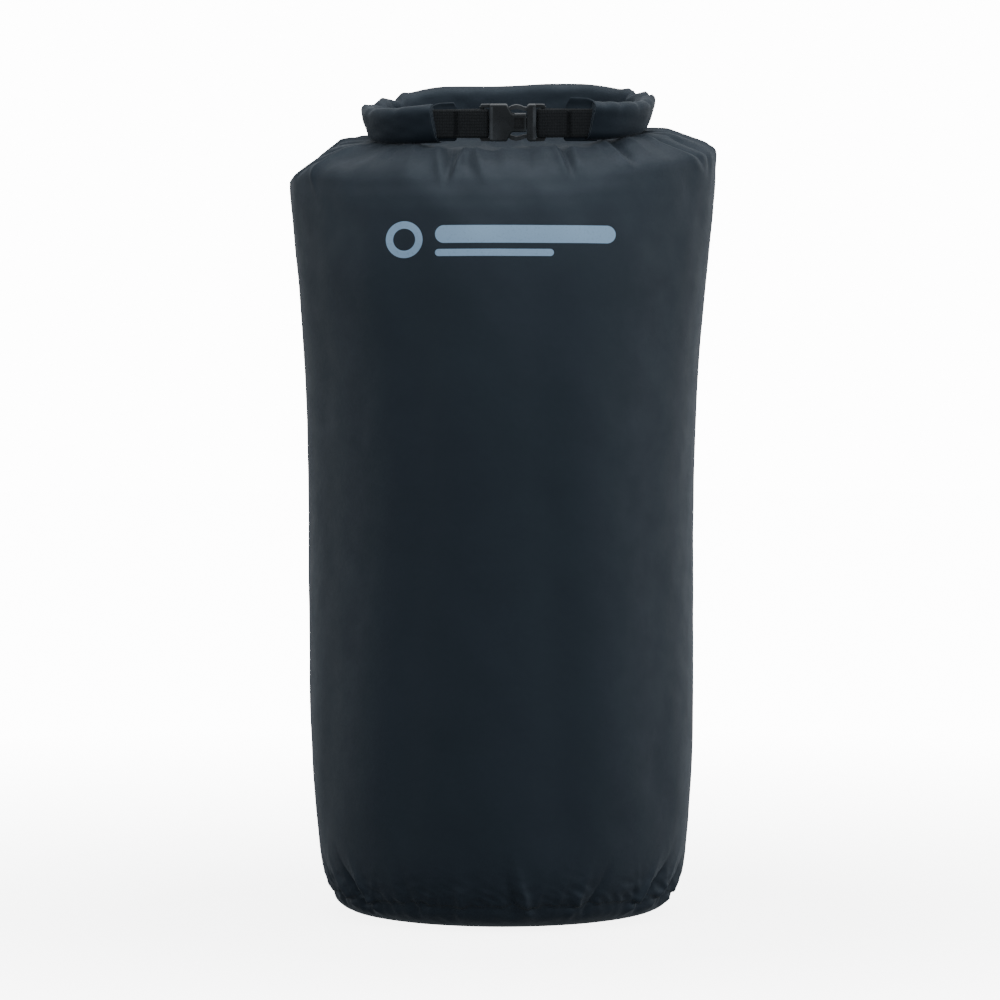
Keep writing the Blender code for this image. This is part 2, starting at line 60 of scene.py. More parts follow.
# The ring that the rolled mouth makes: its own axes are X, a Y that rises to the rear, and Z square to both
BEND_RADIUS = 48.0
HALF_STRAIGHT = 47.0
ROLL_HEIGHT = 28.0
ROLL_HALF_THICK = 6.0
ARM_END = 54.5
RING_UP = Vector(JOINTS["right_arm_swing"]["axis"])
RING_TILT = math.atan2(-RING_UP.y, RING_UP.z)
RING_TURN = Matrix.Rotation(RING_TILT, 3, "X")
RING_REAR = Vector((0, BEND_RADIUS, ROLL_HALF_THICK))  # the raise's axis, from the ring's centre
RING_CENTRE = Vector(JOINTS["handle_raise"]["pos_m"]) / MM - RING_TURN @ RING_REAR
SEED = 7


# ------------------------------------------------------------- mesh tools

def add(name, data):
    """A new object in the scene."""
    obj = bpy.data.objects.new(name, data)
    bpy.context.scene.collection.objects.link(obj)
    return obj


def mesh_object(name, points_mm, faces, material, uv=None):
    """A smooth mesh from points in millimetres. uv holds a pair in millimetres for each point."""
    mesh = bpy.data.meshes.new(name)
    mesh.from_pydata((np.asarray(points_mm) * MM).tolist(), [], [tuple(int(i) for i in f) for f in faces])
    mesh.shade_smooth()
    if uv is not None:
        layer = mesh.uv_layers.new(name="fabric_mm")
        loops = np.zeros(len(mesh.loops), np.int32)
        mesh.loops.foreach_get("vertex_index", loops)
        layer.data.foreach_set("uv", np.asarray(uv)[loops].ravel())
    mesh.materials.append(material)
    return add(name, mesh)


def grid_faces(rows, columns, wrap=False):
    """Quads of a grid of points stored row by row."""
    found = []
    for r in range(rows - 1):
        for c in range(columns if wrap else columns - 1):
            d = (c + 1) % columns
            a = r * columns
            found.append((a + c, a + d, a + columns + d, a + columns + c))
    return found


def smoothstep(low, high, values):
    """0 up to low, 1 from high on, and a smooth rise between."""
    t = np.clip((np.asarray(values, float) - low) / (high - low), 0, 1)
    return t * t * (3 - 2 * t)


def catmull_rom(points, samples):
    """Samples of a smooth curve through points, evenly spread by chord length."""
    points = np.asarray(points, float)
    steps = np.r_[0, np.cumsum(np.linalg.norm(np.diff(points, axis=0), axis=1))]
    ends = np.vstack([2 * points[0] - points[1], points, 2 * points[-1] - points[-2]])
    found = []
    for place in np.linspace(0, steps[-1], samples):
        k = min(np.searchsorted(steps, place, side="right") - 1, len(points) - 2)
        t = (place - steps[k]) / (steps[k + 1] - steps[k])
        p0, p1, p2, p3 = ends[k : k + 4]
        found.append(0.5 * (2 * p1 + (p2 - p0) * t + (2 * p0 - 5 * p1 + 4 * p2 - p3) * t * t
                            + (3 * p1 - p0 - 3 * p2 + p3) * t ** 3))
    return np.array(found)


def waves(u, v, seed, count, shortest, longest):
    """Smooth seeded unevenness of about unit size, over two coordinates in millimetres."""
    rng = np.random.default_rng(seed)
    total = np.zeros(np.broadcast(u, v).shape)
    for _ in range(count):
        length = rng.uniform(shortest, longest)
        heading = rng.uniform(0, math.pi)
        phase = rng.uniform(0, 2 * math.pi)
        total += np.sin((u * math.cos(heading) + v * math.sin(heading)) * 2 * math.pi / length + phase)
    return total / math.sqrt(count)


def ring_world(points):
    """Points in the ring's own axes, taken to the object's, in millimetres."""
    return np.asarray(points) @ np.array(RING_TURN).T + np.array(RING_CENTRE)


def turn_between(degrees, middle):
    """How far directions round the sack are from a middle one, in degrees."""
    return np.abs((degrees - middle + 180) % 360 - 180)


def thread_piece(name, lines, radius, roundness, material):
    """Round cords of thread, one through each line of points in millimetres, joined into one piece."""
    curve = bpy.data.curves.new(name, "CURVE")
    curve.dimensions = "3D"
    curve.bevel_depth = radius * MM
    curve.bevel_resolution = roundness
    curve.use_fill_caps = True
    for line in lines:
        spline = curve.splines.new("POLY")
        spline.points.add(len(line) - 1)
        for place, point in zip(spline.points, line):
            place.co = (*(np.asarray(point) * MM), 1)
    curve.materials.append(material)
    return add(name, curve)


# -------------------------------------------------------------- materials

WEAVE_PITCH = 0.42  # from one thread of the nylon to the next
RIB_PITCH = 1.15  # from one rib of the webbing to the next
COLUMN_PITCH = 2.1


class Nodes:
    """Short calls for building the node tree of a material or a world."""

    def __init__(self, owner):
        self.owner = owner
        owner.use_nodes = True
        self.tree = owner.node_tree
        self.shader = self.tree.nodes.get("Principled BSDF")

    def link(self, source, target):
        self.tree.links.new(source, target)

    def node(self, kind, **settings):
        made = self.tree.nodes.new(kind)
        for key, value in settings.items():
            setattr(made, key, value)
        return made

    def math(self, operation, a, b=None):
        made = self.node("ShaderNodeMath", operation=operation)
        for socket, value in zip(made.inputs, (a, b)):
            if value is None:
                continue
            if isinstance(value, (int, float)):
                socket.default_value = value
            else:
                self.link(value, socket)
        return made.outputs[0]

    def noise(self, vector, scale, detail=3.0, roughness=0.5):
        made = self.node("ShaderNodeTexNoise")
        made.inputs["Scale"].default_value = scale
        made.inputs["Detail"].default_value = detail
        made.inputs["Roughness"].default_value = roughness
        self.link(vector, made.inputs["Vector"])
        return made.outputs["Fac"]

    def ramp(self, value, low, high, to_low, to_high, kind="LINEAR"):
        made = self.node("ShaderNodeMapRange", interpolation_type=kind)
        self.link(value, made.inputs["Value"])
        ends = {"From Min": low, "From Max": high, "To Min": to_low, "To Max": to_high}
        for key, number in ends.items():
            made.inputs[key].default_value = number
        return made.outputs["Result"]

    def mix(self, factor, a, b):
        made = self.node("ShaderNodeMix", data_type="RGBA")
        self.link(factor, made.inputs["Factor"])
        for socket, value in ((made.inputs[6], a), (made.inputs[7], b)):
            if isinstance(value, tuple):
                socket.default_value = (*value, 1)
            else:
                self.link(value, socket)
        return made.outputs[2]

    def bump(self, height, distance, strength=1.0, below=None):
        made = self.node("ShaderNodeBump")
        made.inputs["Distance"].default_value = distance
        made.inputs["Strength"].default_value = strength
        self.link(height, made.inputs["Height"])
        if below:
            self.link(below, made.inputs["Normal"])
        return made.outputs["Normal"]

    def coordinate(self, name):
        return self.node("ShaderNodeTexCoord").outputs[name]

    def split(self, vector):
        made = self.node("ShaderNodeSeparateXYZ")
        self.link(vector, made.inputs[0])
        return made.outputs

    def principled(self, **values):
        for key, value in values.items():
            self.shader.inputs[key.replace("_", " ")].default_value = value


def weave_height(nodes, uv, pitch):
    """The over and under of a plain weave, from coordinates in millimetres along the two threads."""
    u, v, _ = nodes.split(uv)
    warp = nodes.math("SINE", nodes.math("MULTIPLY", u, math.pi / pitch))
    weft = nodes.math("SINE", nodes.math("MULTIPLY", v, math.pi / pitch))
    return nodes.math("MULTIPLY", warp, weft)


def coated_nylon(name, colour, deep, mark=None, roughness=0.5):
    """Plain-woven nylon with a thin semi-matt coating: uneven tone, fine weave, soft sheen at the edges."""
    nodes = Nodes(bpy.data.materials.new(name))
    uv = nodes.coordinate("UV")
    place = nodes.coordinate("Object")
    tone = nodes.ramp(nodes.noise(place, 16, 3), 0.30, 0.70, 0, 1)
    base = nodes.mix(tone, deep, colour)
    if mark:
        base = nodes.mix(mark(nodes, place), base, MARK_COLOUR)
    nodes.link(base, nodes.shader.inputs["Base Color"])
    rough = nodes.ramp(nodes.noise(place, 60, 3), 0.3, 0.7, roughness - 0.05, roughness + 0.07)
    nodes.link(rough, nodes.shader.inputs["Roughness"])
    soft = nodes.bump(nodes.noise(place, 150, 5, 0.6), 0.0005, 0.30)
    woven = nodes.bump(weave_height(nodes, uv, WEAVE_PITCH), 0.00006, 0.5, soft)
    nodes.link(woven, nodes.shader.inputs["Normal"])
    nodes.principled(Sheen_Weight=0.16, Sheen_Roughness=0.42, Specular_IOR_Level=0.36)
    nodes.shader.inputs["Specular Tint"].default_value = (0.66, 0.83, 1.0, 1)
    nodes.shader.inputs["Sheen Tint"].default_value = (0.72, 0.82, 0.92, 1)
    return nodes.owner


def woven_tape(name, colour, deep):
    """Ribbed nylon webbing: ribs across its width, broken into columns by the warp, with painted shade in the
    grooves between them.
    """
    nodes = Nodes(bpy.data.materials.new(name))
    uv = nodes.coordinate("UV")
    u, v, _ = nodes.split(uv)
    ribs = nodes.math("ABSOLUTE", nodes.math("SINE", nodes.math("MULTIPLY", u, math.pi / RIB_PITCH)))
    columns = nodes.math("ABSOLUTE", nodes.math("SINE", nodes.math("MULTIPLY", v, math.pi / COLUMN_PITCH)))
    height = nodes.math("ADD", ribs, nodes.math("MULTIPLY", columns, 0.5))
    fibre = nodes.noise(nodes.coordinate("Object"), 900, 3)
    # painted shade: the low parts of the ribs and columns are mixed towards the darker colour
    base = nodes.mix(nodes.ramp(height, 0.2, 1.4, 0, 1), deep, colour)
    nodes.link(base, nodes.shader.inputs["Base Color"])
    ribbed = nodes.bump(height, 0.00030, 0.9)
    nodes.link(nodes.bump(fibre, 0.00008, 0.5, ribbed), nodes.shader.inputs["Normal"])
    nodes.principled(Roughness=0.72, Sheen_Weight=0.12, Sheen_Roughness=0.5, Specular_IOR_Level=0.35)
    return nodes.owner


def thread(name, colour):
    """Twisted sewing thread, with painted shade in the low bands of its twist."""
    nodes = Nodes(bpy.data.materials.new(name))
    twist = nodes.node("ShaderNodeTexWave", wave_type="BANDS", bands_direction="DIAGONAL")
    twist.inputs["Scale"].default_value = 900
    nodes.link(nodes.coordinate("Object"), twist.inputs["Vector"])
    # painted shade: the twist's low bands are darkened to 0.6 of the thread's colour
    tone = nodes.mix(twist.outputs["Fac"], tuple(0.6 * c for c in colour), colour)
    nodes.link(tone, nodes.shader.inputs["Base Color"])
    nodes.link(nodes.bump(twist.outputs["Fac"], 0.0001, 0.6), nodes.shader.inputs["Normal"])
    nodes.principled(Roughness=0.6, Specular_IOR_Level=0.4)
    return nodes.owner


def moulded_plastic(name, colour, edge_highlight):
    """Fine-grained moulded acetal, with a painted highlight: paler on its sharp edges, in noise patches."""
    nodes = Nodes(bpy.data.materials.new(name))
    place = nodes.coordinate("Object")
    pointiness = nodes.node("ShaderNodeNewGeometry").outputs["Pointiness"]
    # painted highlight: sharp edges, found by pointiness, are mixed towards the paler colour
    edge = nodes.ramp(pointiness, 0.52, 0.60, 0, 1)
    patch = nodes.ramp(nodes.noise(place, 120, 4), 0.35, 0.65, 0.3, 1)
    base = nodes.mix(nodes.math("MULTIPLY", edge, patch), colour, edge_highlight)
    nodes.link(base, nodes.shader.inputs["Base Color"])
    rough = nodes.ramp(nodes.noise(place, 260, 3), 0.3, 0.7, 0.24, 0.34)
    nodes.link(rough, nodes.shader.inputs["Roughness"])
    nodes.link(nodes.bump(nodes.noise(place, 2600, 2), 0.00005, 0.35), nodes.shader.inputs["Normal"])
    nodes.principled(Specular_IOR_Level=0.5)
    return nodes.owner


MARK_HEIGHT = 467.5
MARK_COLOUR = (0.30, 0.46, 0.65)
# The mark's parts, in metres: the ring's middle in X and its two radii, and each bar's middle in X, its height
# from the mark's, its half length and its half thickness
MARK_RING = (-0.0665, 0.0125, 0.0075)
MARK_LONG_BAR = (0.0155, 0.0035, 0.0610, 0.0060)
MARK_SHORT_BAR = (-0.0055, -0.0090, 0.0400, 0.0024)


def printed_mark(nodes, place):
    """A plain printed mark, with no lettering: a ring beside a long bar with a short one under it."""
    x, y, z = nodes.split(place)

    def bar(middle_x, middle_z, half_x, half_z, radius):
        """How far inside a rounded bar, in metres, and negative outside it."""
        squares = []
        for value, at, half in ((x, middle_x, half_x), (z, middle_z, half_z)):
            away = nodes.math("ABSOLUTE", nodes.math("SUBTRACT", value, at))
            outside = nodes.math("MAXIMUM", nodes.math("SUBTRACT", away, half - radius), 0.0)
            squares.append(nodes.math("POWER", outside, 2.0))
        return nodes.math("SUBTRACT", radius, nodes.math("SQRT", nodes.math("ADD", *squares)))

    middle = MARK_HEIGHT * MM
    ring_x, outer, inner = MARK_RING
    hole = nodes.math("MULTIPLY", bar(ring_x, middle, inner, inner, inner), -1.0)
    inside = nodes.math("MINIMUM", bar(ring_x, middle, outer, outer, outer), hole)
    for bar_x, rise, half_long, half_thick in (MARK_LONG_BAR, MARK_SHORT_BAR):
        inside = nodes.math("MAXIMUM", inside, bar(bar_x, middle + rise, half_long, half_thick, half_thick))
    ink = nodes.ramp(inside, -0.00012, 0.00012, 0, 1)
    front = nodes.ramp(y, -0.06, -0.07, 0, 1)
    grain = nodes.ramp(nodes.noise(place, 700, 2), 0.25, 0.45, 0.86, 1)
    return nodes.math("MULTIPLY", nodes.math("MULTIPLY", ink, front), grain)


# ------------------------------------------------------------ sack fabric

SEAM_HEIGHT = 15.5
SEAM_RADIUS = 118.5
SACK_RADIUS = 135.0
SHOULDER_RADIUS = 108.0
SACK_AROUND = 520
SACK_UP = 190
SEAM_BLEND = 11.0  # the base disc follows the fabric's puckered edge over this length
BASE_STITCH_ROW = 2  # the grid row that carries the base's stitches
SEAM_COLUMNS = 2  # how many grid columns the rear seam's stitches stand from its middle
SEAM_PROUD = 0.55  # how far the rear seam's doubled strip stands out
PILLOW_SHARE = 0.34  # how far the shoulders come to an edge at each side, as a pillow's do
SIDE_LEAN = 0.026  # the right shoulder stands this much higher than the left, for each unit of X

# Height at the ring's middle, left and right half widths, half depth, centre's Y, share of the ring's tilt,
# roundness
SACK_STATIONS = [
    (SEAM_HEIGHT, SEAM_RADIUS, SEAM_RADIUS, SEAM_RADIUS, 0, 0, 2.0),
    (20, 121.8, 121.6, 121.6, 0, 0, 2.0),
    (29, 125.2, 125.0, 125.0, 0, 0, 2.0),
    (45, 128.2, 128.4, 128.2, 0, 0, 2.0),
    (78, 131.4, 131.4, 131.4, 0, 0, 2.0),
    (107, 133.2, 133.2, 133.2, 0, 0, 2.0),
    (150, 134.6, 134.6, 134.6, 0, 0, 2.0),
    (220, 134.8, 134.8, 135.0, 0, 0, 2.0),
    (300, 135.2, 135.2, 134.6, 0, 0, 2.0),
    (359, 136.7, 136.7, 132.8, 0.2, 0, 2.0),
    (400, 139.2, 139.2, 130.0, 0.6, 0.02, 2.0),
    (443, 142.8, 143.0, 125.8, 1.3, 0.10, 2.03),
    (471, 145.6, 145.9, 121.4, 1.7, 0.26, 2.06),
    (495, 148.0, 148.4, 115.8, 1.9, 0.50, 2.12),
    (508, 149.2, 149.3, 111.6, 1.8, 0.70, 2.16),
    (514, 149.4, 149.5, 109.1, 1.7, 0.78, 2.18),
    (520, 149.2, 149.7, 105.9, 1.6, 0.86, 2.2),
    (526, 148.0, 149.4, 102.0, 1.2, 0.93, 2.25),
    (530.5, 145.0, 148.0, 97.8, 0.7, 0.98, 2.3),
    (533.5, 140.6, 144.2, 94.2, 0.3, 1.0, 2.35),
    (537, 132.4, 135.4, 88.6, 0, 1.0, 2.4),
    (539.8, 124.0, 127.6, 82.2, 0, 1.0, 2.4),
    (541.9, 115.6, 121.6, 75.6, -1, 1.0, 2.45),
    (542.9, 109.2, 117.6, 69.4, -1, 1.0, 2.5),
    (542.8, 103.0, 111.6, 63.6, -2, 1.0, 2.5),
    (542.4, 97.0, 105.8, 58.0, -3, 1.0, 2.6),
    (541.6, 90.0, 99.0, 51.5, -2, 1.0, 2.6),
    (540.6, 83.0, 92.0, 44.5, 2, 1.0, 2.6),
    (539.6, 75.0, 84.0, 36.5, 8, 1.0, 2.6),
    (539.4, 67.0, 76.0, 27.5, 16, 1.0, 2.5),
    (539.8, 60.0, 69.0, 19.0, 24, 1.0, 2.4),
    (540.8, 54.0, 63.0, 11.5, 31.5, 1.0, 2.3),
    (542.2, 50.0, 59.0, 6.0, 37.0, 1.0, 2.2),
    (544.0, 47.5, 56.5, 3.0, 40.0, 1.0, 2.2),
    (546.0, 46.0, 55.0, 2.0, 41.0, 1.0, 2.2),
]
# The left shoulder's corner is folded in: heights, and how far left the fabric may reach at each
EAR_HEIGHTS = [508, 512.5, 541, 545]
EAR_LIMITS = [152, 148.0, 112.0, 109.0]
EAR_TUCK = 0.97  # the share of the fabric past those limits that is taken in
CROWN_DEPTH = 55.0  # sections past the crown, inside the ring, are shallower than this
BEND_SWELL = 3.0  # how far the fabric swells up against the ring's bends
SIDE_DROP = (2.6, 0.8)  # how far the crown falls beyond the ring, at the left and the right
TABLE_SCALE = np.array([1, 1, 1, 1, 1, 40, 20])  # puts the table's shares in step with its millimetres

# Folds below the ring, seen from the front: X and Z at the ring, X and Z at the end, size, width. A negative
# size is a groove.
FRONT_FOLDS = [
    (-33, 535, -38.5, 505, -4.6, 3.4),
    (-25, 534, -37.0, 502, 2.8, 2.6),
    (-45, 536, -41.0, 500, 1.9, 3.4),
    (-19, 534, -10.5, 500, 2.0, 3.2),
    (-28, 530, -18.0, 506, -1.5, 3.0),
    (-7, 534, -4.0, 512, -1.6, 3.0),
    (3, 534, 5.0, 506, 1.0, 4.0),
    (17, 534, 19.0, 509, -1.3, 3.2),
    (27, 534, 31.0, 512, 1.0, 4.0),
    (35, 535, 46.0, 508, 2.4, 3.0),
    (40, 535, 50.5, 506, -3.2, 2.6),
    (47, 535, 57.0, 510, 1.4, 3.4),
    (62, 537, 73.0, 520, 1.4, 3.4),
    (75, 538, 96.0, 518.5, -3.8, 3.0),
    (71, 536, 92.0, 515.0, 2.8, 2.6),
    (84, 541, 104.0, 527, 1.8, 3.2),
    (-58, 536, -66.0, 516, 1.2, 3.6),
    (-70, 537, -82.0, 521, -1.4, 3.4),
]
# Folded edges at the shoulders: X and Z at each end, how far the upper side stands over the lower, width and
# reach
FRONT_CREASES = [
    (-80, 540.5, -119.0, 526.0, 4.2, 1.4, 15),
    (101, 546.0, 148.0, 533.0, 3.4, 1.2, 11),
]
# Long soft folds down the front: angle from the front in degrees, size, half width in degrees
SOFT_FOLDS = [
    (-27, -1.7, 7), (-40, 1.2, 9), (13, -1.2, 6), (25, 1.4, 9), (52, -1.2, 8), (-64, -1.0, 8), (-6, 0.7, 8),
]

# The deeper folds at the base seam: angle at the seam, angle 40 mm above it, size, width
GATHER_FOLDS = [
    (-54, -64, -7.5, 5.2), (-48, -57, 4.6, 3.2), (-61, -73, 3.2, 4.0), (-70, -80, -2.8, 4.4),
    (55, 66, -7.0, 5.0), (49, 59, 4.6, 3.2), (62, 74, 3.0, 3.6), (71, 83, -5.2, 5.0), (77, 89, 2.8, 3.6),
    (8, 3, 4.2, 3.4), (3.5, 0, -3.4, 3.2), (-14, -12, 2.6, 3.6), (24, 29, 2.8, 3.4), (29, 36, -3.0, 3.2),
    (-30, -34, -1.8, 3.4), (118, 125, -4.0, 5.0), (149, 154, 3.0, 4.5), (-121, -127, -4.4, 4.6),
    (-150, -156, 2.8, 4.6), (176, 171, -3.0, 4.0),
]


def sack_sections():
    """Sections from the base seam to the neck, close together where the fabric folds."""
    fine = catmull_rom(np.array(SACK_STATIONS) * TABLE_SCALE, 3000) / TABLE_SCALE
    height, half_depth = fine[:, 0], fine[:, 3]
    step = np.r_[0, np.hypot(np.diff(height), np.diff(half_depth))]
    crowded = 1 + 5 * (1 - smoothstep(60, 85, height)) + 3.5 * smoothstep(455, 490, height)
    place = np.cumsum(step * crowded)
    wanted = np.linspace(0, place[-1], SACK_UP)
    return np.stack([np.interp(wanted, place, fine[:, k]) for k in range(fine.shape[1])], axis=1)


def section_points(section, angles):
    """One section of the sack: points for angles measured from the front, positive to the right."""
    height, left, right, half_depth, centre_y, tilt_share, power = section
    s = np.sin(angles)
    c = -np.cos(angles)
    lens = PILLOW_SHARE * smoothstep(440, 520, height)
    width = np.sign(s) * np.abs(s) ** (2 / power)
    round_depth = np.abs(c) ** (2 / power)
    lens_depth = 1 - np.abs(width) ** 2.4
    x = (right - left) / 2 + (left + right) / 2 * width
    y = centre_y + half_depth * np.sign(c) * ((1 - lens) * round_depth + lens * lens_depth)
    lift = (y - RING_CENTRE.y) * math.tan(RING_TILT) + (x - RING_CENTRE.x) * SIDE_LEAN
    lift -= np.where(x < 0, *SIDE_DROP) * smoothstep(60, 105, np.abs(x))
    past_straight = np.maximum(np.abs(x - RING_CENTRE.x) - HALF_STRAIGHT, 0)
    from_ring = np.abs(np.hypot(past_straight, y - RING_CENTRE.y) - BEND_RADIUS)
    swell = BEND_SWELL * smoothstep(2, 18, past_straight) * np.exp(-((from_ring / 13) ** 2))
    swell *= smoothstep(-62, -30, y - RING_CENTRE.y)  # clear of the front, where the open arms pass
    z = height + lift * tilt_share + swell * smoothstep(528, 539, height)
    past = np.maximum(-x - np.interp(z, EAR_HEIGHTS, EAR_LIMITS), 0) * smoothstep(500, 508, height)
    return np.stack([x + EAR_TUCK * past, y, z], axis=1)


def beside_line(x, z, x0, z0, x1, z1):
    """How far along a line on the front, as a share of it, and how far to one side of it."""
    run = math.hypot(x1 - x0, z1 - z0)
    along = ((x - x0) * (x1 - x0) + (z - z0) * (z1 - z0)) / run ** 2
    return along, ((z - z0) * (x1 - x0) - (x - x0) * (z1 - z0)) / run


def front_folds(x, z):
    """Pleats and folded edges that run down the front of the shoulder from the ring."""
    total = np.zeros_like(x)
    for *ends, size, width in FRONT_FOLDS:
        along, across = beside_line(x, z, *ends)
        spread = width * (1.15 - 0.45 * np.clip(along, 0, 1))
        total += size * (1 - smoothstep(0.25, 1.05, along)) * np.exp(-((np.abs(across) / spread) ** 1.6))
    for x0, z0, x1, z1, size, width, reach in FRONT_CREASES:
        along, across = beside_line(x, z, x0, z0, x1, z1)
        across *= math.copysign(1, x1 - x0)
        ends = smoothstep(-0.1, 0.2, along) * (1 - smoothstep(0.7, 1.1, along))
        total += size / 2 * ends * np.tanh(across / width) * np.exp(-np.abs(across) / reach)
    return total


def back_pleats(degrees, height):
    """Pleats that hang from the ring down the sides and the back."""
    rng = np.random.default_rng(SEED)
    total = np.zeros_like(height)
    for middle in np.arange(58, 303, 8.5):
        top = middle + rng.uniform(-3, 3)
        end = top + rng.uniform(-7, 7)
        low = rng.uniform(497, 523)
        size = rng.choice([-1, 1]) * rng.uniform(1.0, 3.0)
        width = rng.uniform(2.4, 5.0)
        along = (536 - height) / (536 - low)
        centre = top + (end - top) * along
        distance = np.radians(turn_between(degrees, centre)) * SHOULDER_RADIUS
        total += size * (1 - smoothstep(0.2, 1.05, along)) * np.exp(-((distance / width) ** 1.6))
    return total


def seam_gathers(degrees, above):
    """Puckers across the base seam, where the wider tube is eased into the disc.

    above is the distance from the seam, negative on the disc.
    """
    rng = np.random.default_rng(SEED + 1)
    total = np.zeros_like(above)
    place = -180.0
    while place < 177:
        size = rng.uniform(0.5, 2.3)
        reach = rng.uniform(7, 22)
        below = rng.uniform(4, 10)
        width = rng.uniform(1.5, 4.0)
        slant = rng.uniform(-12, 12)
        far = np.where(above > 0, above / reach, -above / below)
        distance = np.radians(turn_between(degrees, place + slant * above / 60)) * SEAM_RADIUS
        beside = 0.45 * np.exp(-((distance / (2.4 * width)) ** 2))
        total += size * np.exp(-(far ** 1.5)) * (np.exp(-((distance / width) ** 1.4)) - beside)
        place += rng.uniform(3.0, 8.5)
    for middle, end, size, width in GATHER_FOLDS:
        far = np.where(above > 0, above / 21, -above / 7)
        distance = np.radians(turn_between(degrees, middle + (end - middle) * above / 40)) * SEAM_RADIUS
        total += size * np.exp(-(far ** 2)) * np.exp(-((distance / width) ** 1.5))
    crest = 1 - np.abs(waves(degrees * 2.1, above * 1.6, SEED + 5, 7, 11, 30))
    total += 0.9 * (crest - 0.45) * np.exp(-((np.abs(above) / 17) ** 2))
    return total * (0.35 + 0.65 * smoothstep(0, 3.5, np.abs(above)))


def sack_fabric(material):
    """The sack's fabric, with the grid of its points and the directions square to its smooth shape."""
    angles = np.linspace(-math.pi, math.pi, SACK_AROUND, endpoint=False)
    sections = sack_sections()
    rows = np.array([section_points(section, angles) for section in sections])
    tangent_around = np.roll(rows, -1, axis=1) - np.roll(rows, 1, axis=1)
    tangent_up = np.gradient(rows, axis=0)
    normals = np.cross(tangent_around, tangent_up)
    normals /= np.maximum(np.linalg.norm(normals, axis=2, keepdims=True), 1e-9)
    up = np.cumsum(np.r_[0, np.linalg.norm(np.diff(rows[:, SACK_AROUND // 2], axis=0), axis=1)])
    height = np.repeat(sections[:, :1], SACK_AROUND, axis=1)
    degrees = np.repeat(np.degrees(angles)[None], SACK_UP, axis=0)
    arc = np.radians(degrees) * SACK_RADIUS
    rise = np.repeat(up[:, None], SACK_AROUND, axis=1)
    crown = up[np.argmax(sections[:, 0] * (sections[:, 3] > CROWN_DEPTH))]
    inner = (rise - crown) / (up[-1] - crown)
    outside = 1 - smoothstep(-0.05, 0.2, inner)
    front = 1 - smoothstep(-30, -5, rows[..., 1])

    stand = front_folds(rows[..., 0], rows[..., 2]) * outside * front
    stand += back_pleats(degrees, height) * outside
    stand += seam_gathers(degrees, rise)
    body = smoothstep(20, 80, rise) * (1 - smoothstep(455, 500, height))
    for middle, size, width in SOFT_FOLDS:
        wander = 3.0 * np.sin(height / 95 + middle)
        stand += size * body * np.exp(-(((degrees - middle - wander) / width) ** 2))
    stand += 0.7 * smoothstep(20, 80, rise) * waves(arc, rise * 0.35, SEED + 2, 9, 70, 190)
    shoulder = smoothstep(430, 520, height)
    fine = waves(arc, rise * 0.7, SEED + 3, 12, 18, 48)
    stand += (0.12 + 0.28 * shoulder) * smoothstep(20, 60, rise) * fine
    crest = 1 - np.abs(waves(arc, rise * 0.5, SEED + 6, 5, 26, 75))
    stand += 1.9 * (crest - 0.5) * smoothstep(0.0, 0.25, inner) * (1 - smoothstep(0.75, 1.0, inner))
    at_seam = np.radians(turn_between(degrees, 180)) * SACK_RADIUS
    stand += SEAM_PROUD * (1 - smoothstep(5.0, 6.0, at_seam)) * outside
    points = rows + normals * stand[..., None]
    uv = np.stack([arc.ravel(), rise.ravel()], axis=1)
    faces = grid_faces(SACK_UP, SACK_AROUND, wrap=True)
    return mesh_object("sack_fabric", points.reshape(-1, 3), faces, material, uv), points, normals


def base_cover(material, edge):
    """The base disc: it starts from the fabric's edge at the seam, and is flat where it rests."""
    profile = [(SEAM_RADIUS, SEAM_HEIGHT), (117.3, 11.2), (113.8, 7.0), (107, 3.2), (98, 1.0), (88, 0),
               (60, 0), (30, 0), (2, 0)]
    curve = catmull_rom(profile, 46)
    curve[:, 1] = np.maximum(curve[:, 1], 0)
    down = np.r_[0, np.cumsum(np.linalg.norm(np.diff(curve, axis=0), axis=1))]
    angles = np.linspace(-math.pi, math.pi, SACK_AROUND, endpoint=False)
    degrees = np.repeat(np.degrees(angles)[None], len(curve), axis=0)
    above = np.repeat(-down[:, None], SACK_AROUND, axis=1)
    stand = seam_gathers(degrees, above) * (1 - smoothstep(16, 24, -above))
    radius = curve[:, :1] + stand * 0.85
    height = np.maximum(curve[:, 1:] - stand * 0.25, 0)
    points = np.stack([radius * np.sin(angles), -radius * np.cos(angles), height], axis=2)
    points += (edge - points[0]) * (1 - smoothstep(0, SEAM_BLEND, -above))[..., None]
    uv = points[..., :2].reshape(-1, 2)
    faces = [f[::-1] for f in grid_faces(len(curve), SACK_AROUND, wrap=True)]
    return mesh_object("base_cover", points.reshape(-1, 3), faces, material, uv)


def thicken(obj, thickness):
    """Give a sheet its thickness in millimetres, half to each side."""
    wall = obj.modifiers.new("cloth", "SOLIDIFY")
    wall.thickness = thickness * MM
    wall.offset = 0


# ------------------------------------------------------------ rolled mouth

LAYER = 0.75  # the rolled fabric's thickness, with its coating and the air under it
LAYER_PITCH = 1.34
HALF_TURNS = 9
ARC_STEPS, RUN_STEPS = 8, 7  # points round each end of the winding and along each side
ARM_LENGTH = HALF_STRAIGHT + BEND_RADIUS * (math.pi - math.asin((ARM_END - HALF_STRAIGHT) / BEND_RADIUS))
ROLL_ROWS = 190

